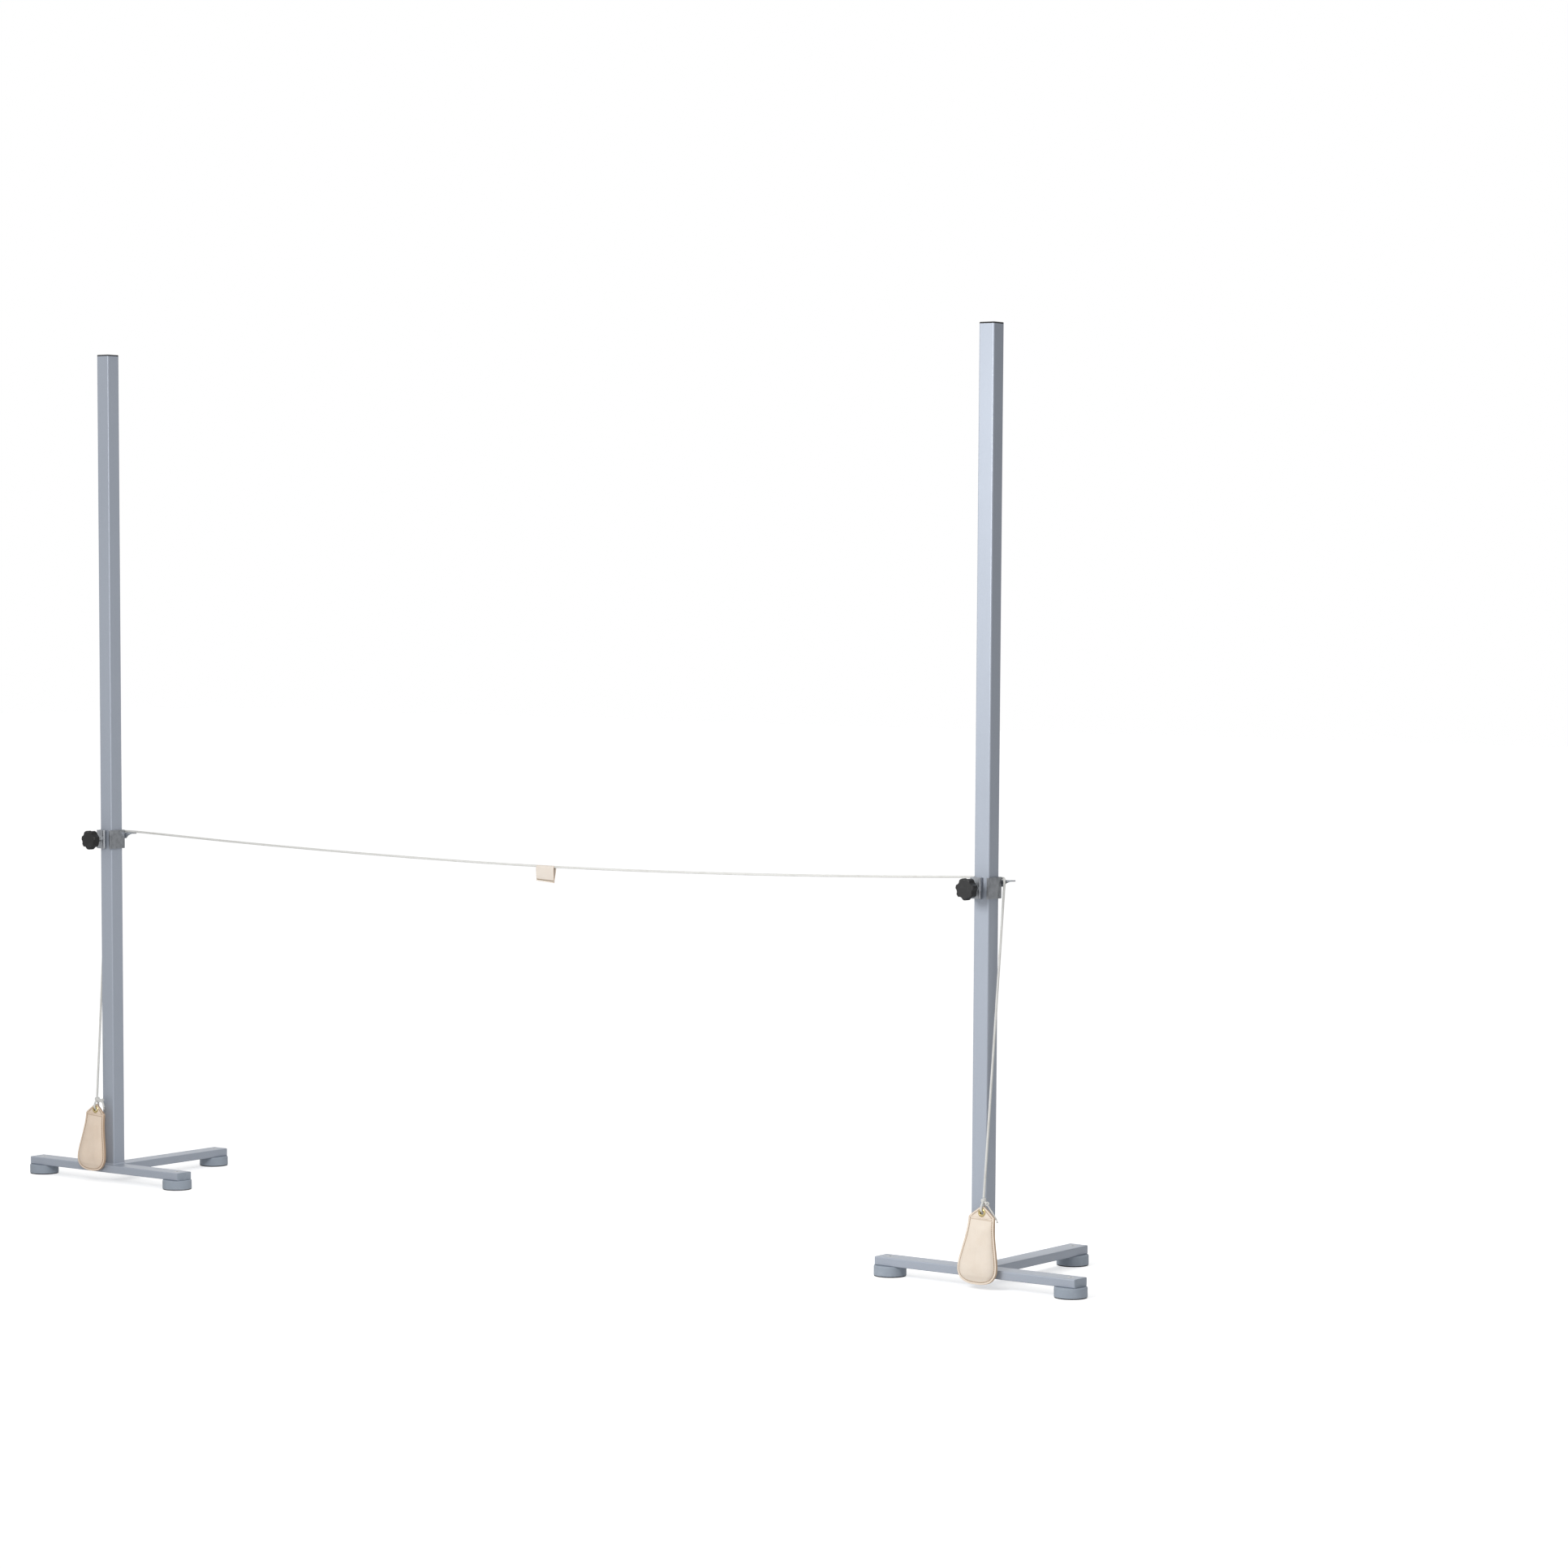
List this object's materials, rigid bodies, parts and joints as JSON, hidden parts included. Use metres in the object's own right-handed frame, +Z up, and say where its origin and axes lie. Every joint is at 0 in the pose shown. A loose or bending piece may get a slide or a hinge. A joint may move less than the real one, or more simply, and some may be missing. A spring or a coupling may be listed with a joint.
{
  "type": "high jump standards",
  "caption": "Pair of free-standing square uprights on T-shaped bases, with clamped sliding rests that carry a weighted jump cord with a small leather marker.",
  "frame": {"origin": "on the floor, midway between the two uprights and under the middle of the box around them", "axes": "+X from the left upright to the right one, +Y to the back, where the rear legs point, +Z up"},
  "size_m": [3.3029, 0.4905, 2.1485],
  "materials": {
    "painted_steel": "smooth blue-gray silver paint",
    "gray_plastic": "moulded gray plastic",
    "sole_rubber": "matt black rubber",
    "zinc_steel": "dull zinc plating",
    "black_plastic": "fine-grained black plastic",
    "leather": "undyed smooth leather",
    "brass": "polished brass",
    "cord": "twisted cotton cord",
    "sand": "fine sand"
  },
  "bodies": {
    "standards": {"left_upright": "painted_steel", "left_upright_cap": "black_plastic", "left_crossbar": "painted_steel", "left_rear_leg": "painted_steel", "left_end_plugs": "gray_plastic", "left_feet": "gray_plastic", "left_foot_pads": "sole_rubber", "left_foot_screws": "zinc_steel", "right_upright": "painted_steel", "right_upright_cap": "black_plastic", "right_crossbar": "painted_steel", "right_rear_leg": "painted_steel", "right_end_plugs": "gray_plastic", "right_feet": "gray_plastic", "right_foot_pads": "sole_rubber", "right_foot_screws": "zinc_steel"},
    "left_support": {"left_slide_sleeve": "zinc_steel", "left_cord_rest": "zinc_steel", "left_weld_nut": "zinc_steel"},
    "left_pad": {"left_pressure_pad": "brass"},
    "left_clamp": {"left_clamp_screw": "zinc_steel", "left_knob": "black_plastic"},
    "right_support": {"right_slide_sleeve": "zinc_steel", "right_cord_rest": "zinc_steel", "right_weld_nut": "zinc_steel"},
    "right_pad": {"right_pressure_pad": "brass"},
    "right_clamp": {"right_clamp_screw": "zinc_steel", "right_knob": "black_plastic"},
    "cord": {"jump_cord": "cord"},
    "marker": {"cord_marker": "leather"},
    "left_weight": {"left_bag": "leather", "left_bag_weight": "sand", "left_grommet": "brass", "left_knot": "cord"},
    "right_weight": {"right_bag": "leather", "right_bag_weight": "sand", "right_grommet": "brass", "right_knot": "cord"}
  },
  "joints": [
    {"name": "left_support_slide", "type": "slide", "parent": "standards", "child": "left_support", "axis": [0, 0, 1], "range_m": [0, 1.17]},
    {"name": "right_support_slide", "type": "slide", "parent": "standards", "child": "right_support", "axis": [0, 0, 1], "range_m": [0, 1.17]},
    {"name": "left_screw_travel", "type": "slide", "parent": "left_support", "child": "left_pad", "axis": [0, -1, 0], "range_m": [0, 0.00125]},
    {"name": "left_knob_turn", "type": "hinge", "parent": "left_pad", "child": "left_clamp", "pos_m": [-1.377, -0.22925, 0.897], "axis": [0, -1, 0], "range_deg": [0, 360]},
    {"name": "right_screw_travel", "type": "slide", "parent": "right_support", "child": "right_pad", "axis": [0, -1, 0], "range_m": [0, 0.00125]},
    {"name": "right_knob_turn", "type": "hinge", "parent": "right_pad", "child": "right_clamp", "pos_m": [1.363, -0.22925, 0.897], "axis": [0, -1, 0], "range_deg": [0, 360]},
    {"name": "cord_lift", "type": "slide", "parent": "left_support", "child": "cord", "axis": [0, 0, 1], "range_m": [0, 0.25]},
    {"name": "marker_swing", "type": "hinge", "parent": "cord", "child": "marker", "pos_m": [0.07, -0.13305, 0.8858], "axis": [1, 0, 0], "range_deg": [-60, 60]},
    {"name": "left_weight_swing", "type": "hinge", "parent": "cord", "child": "left_weight", "pos_m": [-1.39235, -0.20394, 0.21587], "axis": [-1, 0, 0], "range_deg": [0, 25]},
    {"name": "right_weight_swing", "type": "hinge", "parent": "cord", "child": "right_weight", "pos_m": [1.39471, -0.203, 0.19882], "axis": [-1, 0, 0], "range_deg": [0, 25]}
  ],
  "couplings": [
    {"joint": "right_support_slide", "follows": "left_support_slide", "ratio": 1},
    {"joint": "left_knob_turn", "follows": "left_screw_travel", "rad_per_m": 5026.5},
    {"joint": "right_knob_turn", "follows": "right_screw_travel", "rad_per_m": 5026.5}
  ]
}
